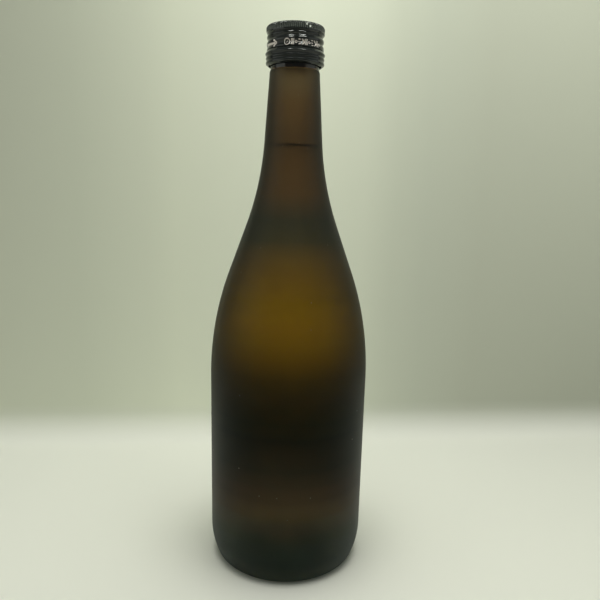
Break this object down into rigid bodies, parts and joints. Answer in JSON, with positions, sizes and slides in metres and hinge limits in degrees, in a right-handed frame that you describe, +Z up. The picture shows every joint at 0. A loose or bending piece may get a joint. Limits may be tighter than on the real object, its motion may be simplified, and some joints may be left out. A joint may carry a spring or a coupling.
{
  "type": "shochu bottle",
  "caption": "Tall frosted brown glass spirits bottle with sloping shoulders and a long neck, filled to the neck, closed with a black roll-on aluminium screw cap.",
  "frame": {"origin": "centre of the base, on the surface that the bottle stands on", "axes": "+Z up along the bottle's axis, towards the cap"},
  "size_m": [0.0824, 0.0824, 0.2738],
  "materials": {
    "frosted_glass": "acid-frosted satin brown glass",
    "clear_drink": "clear colourless liquid",
    "cap_aluminium": "black lacquer on rolled aluminium, soft gloss",
    "liner_plastic": "white foamed polyethylene",
    "cap_print": "pale printing ink on the cap"
  },
  "bodies": {
    "root": {"bottle": "frosted_glass", "drink": "clear_drink", "cap": "cap_aluminium", "cap_liner": "liner_plastic"}
  },
  "joints": []
}
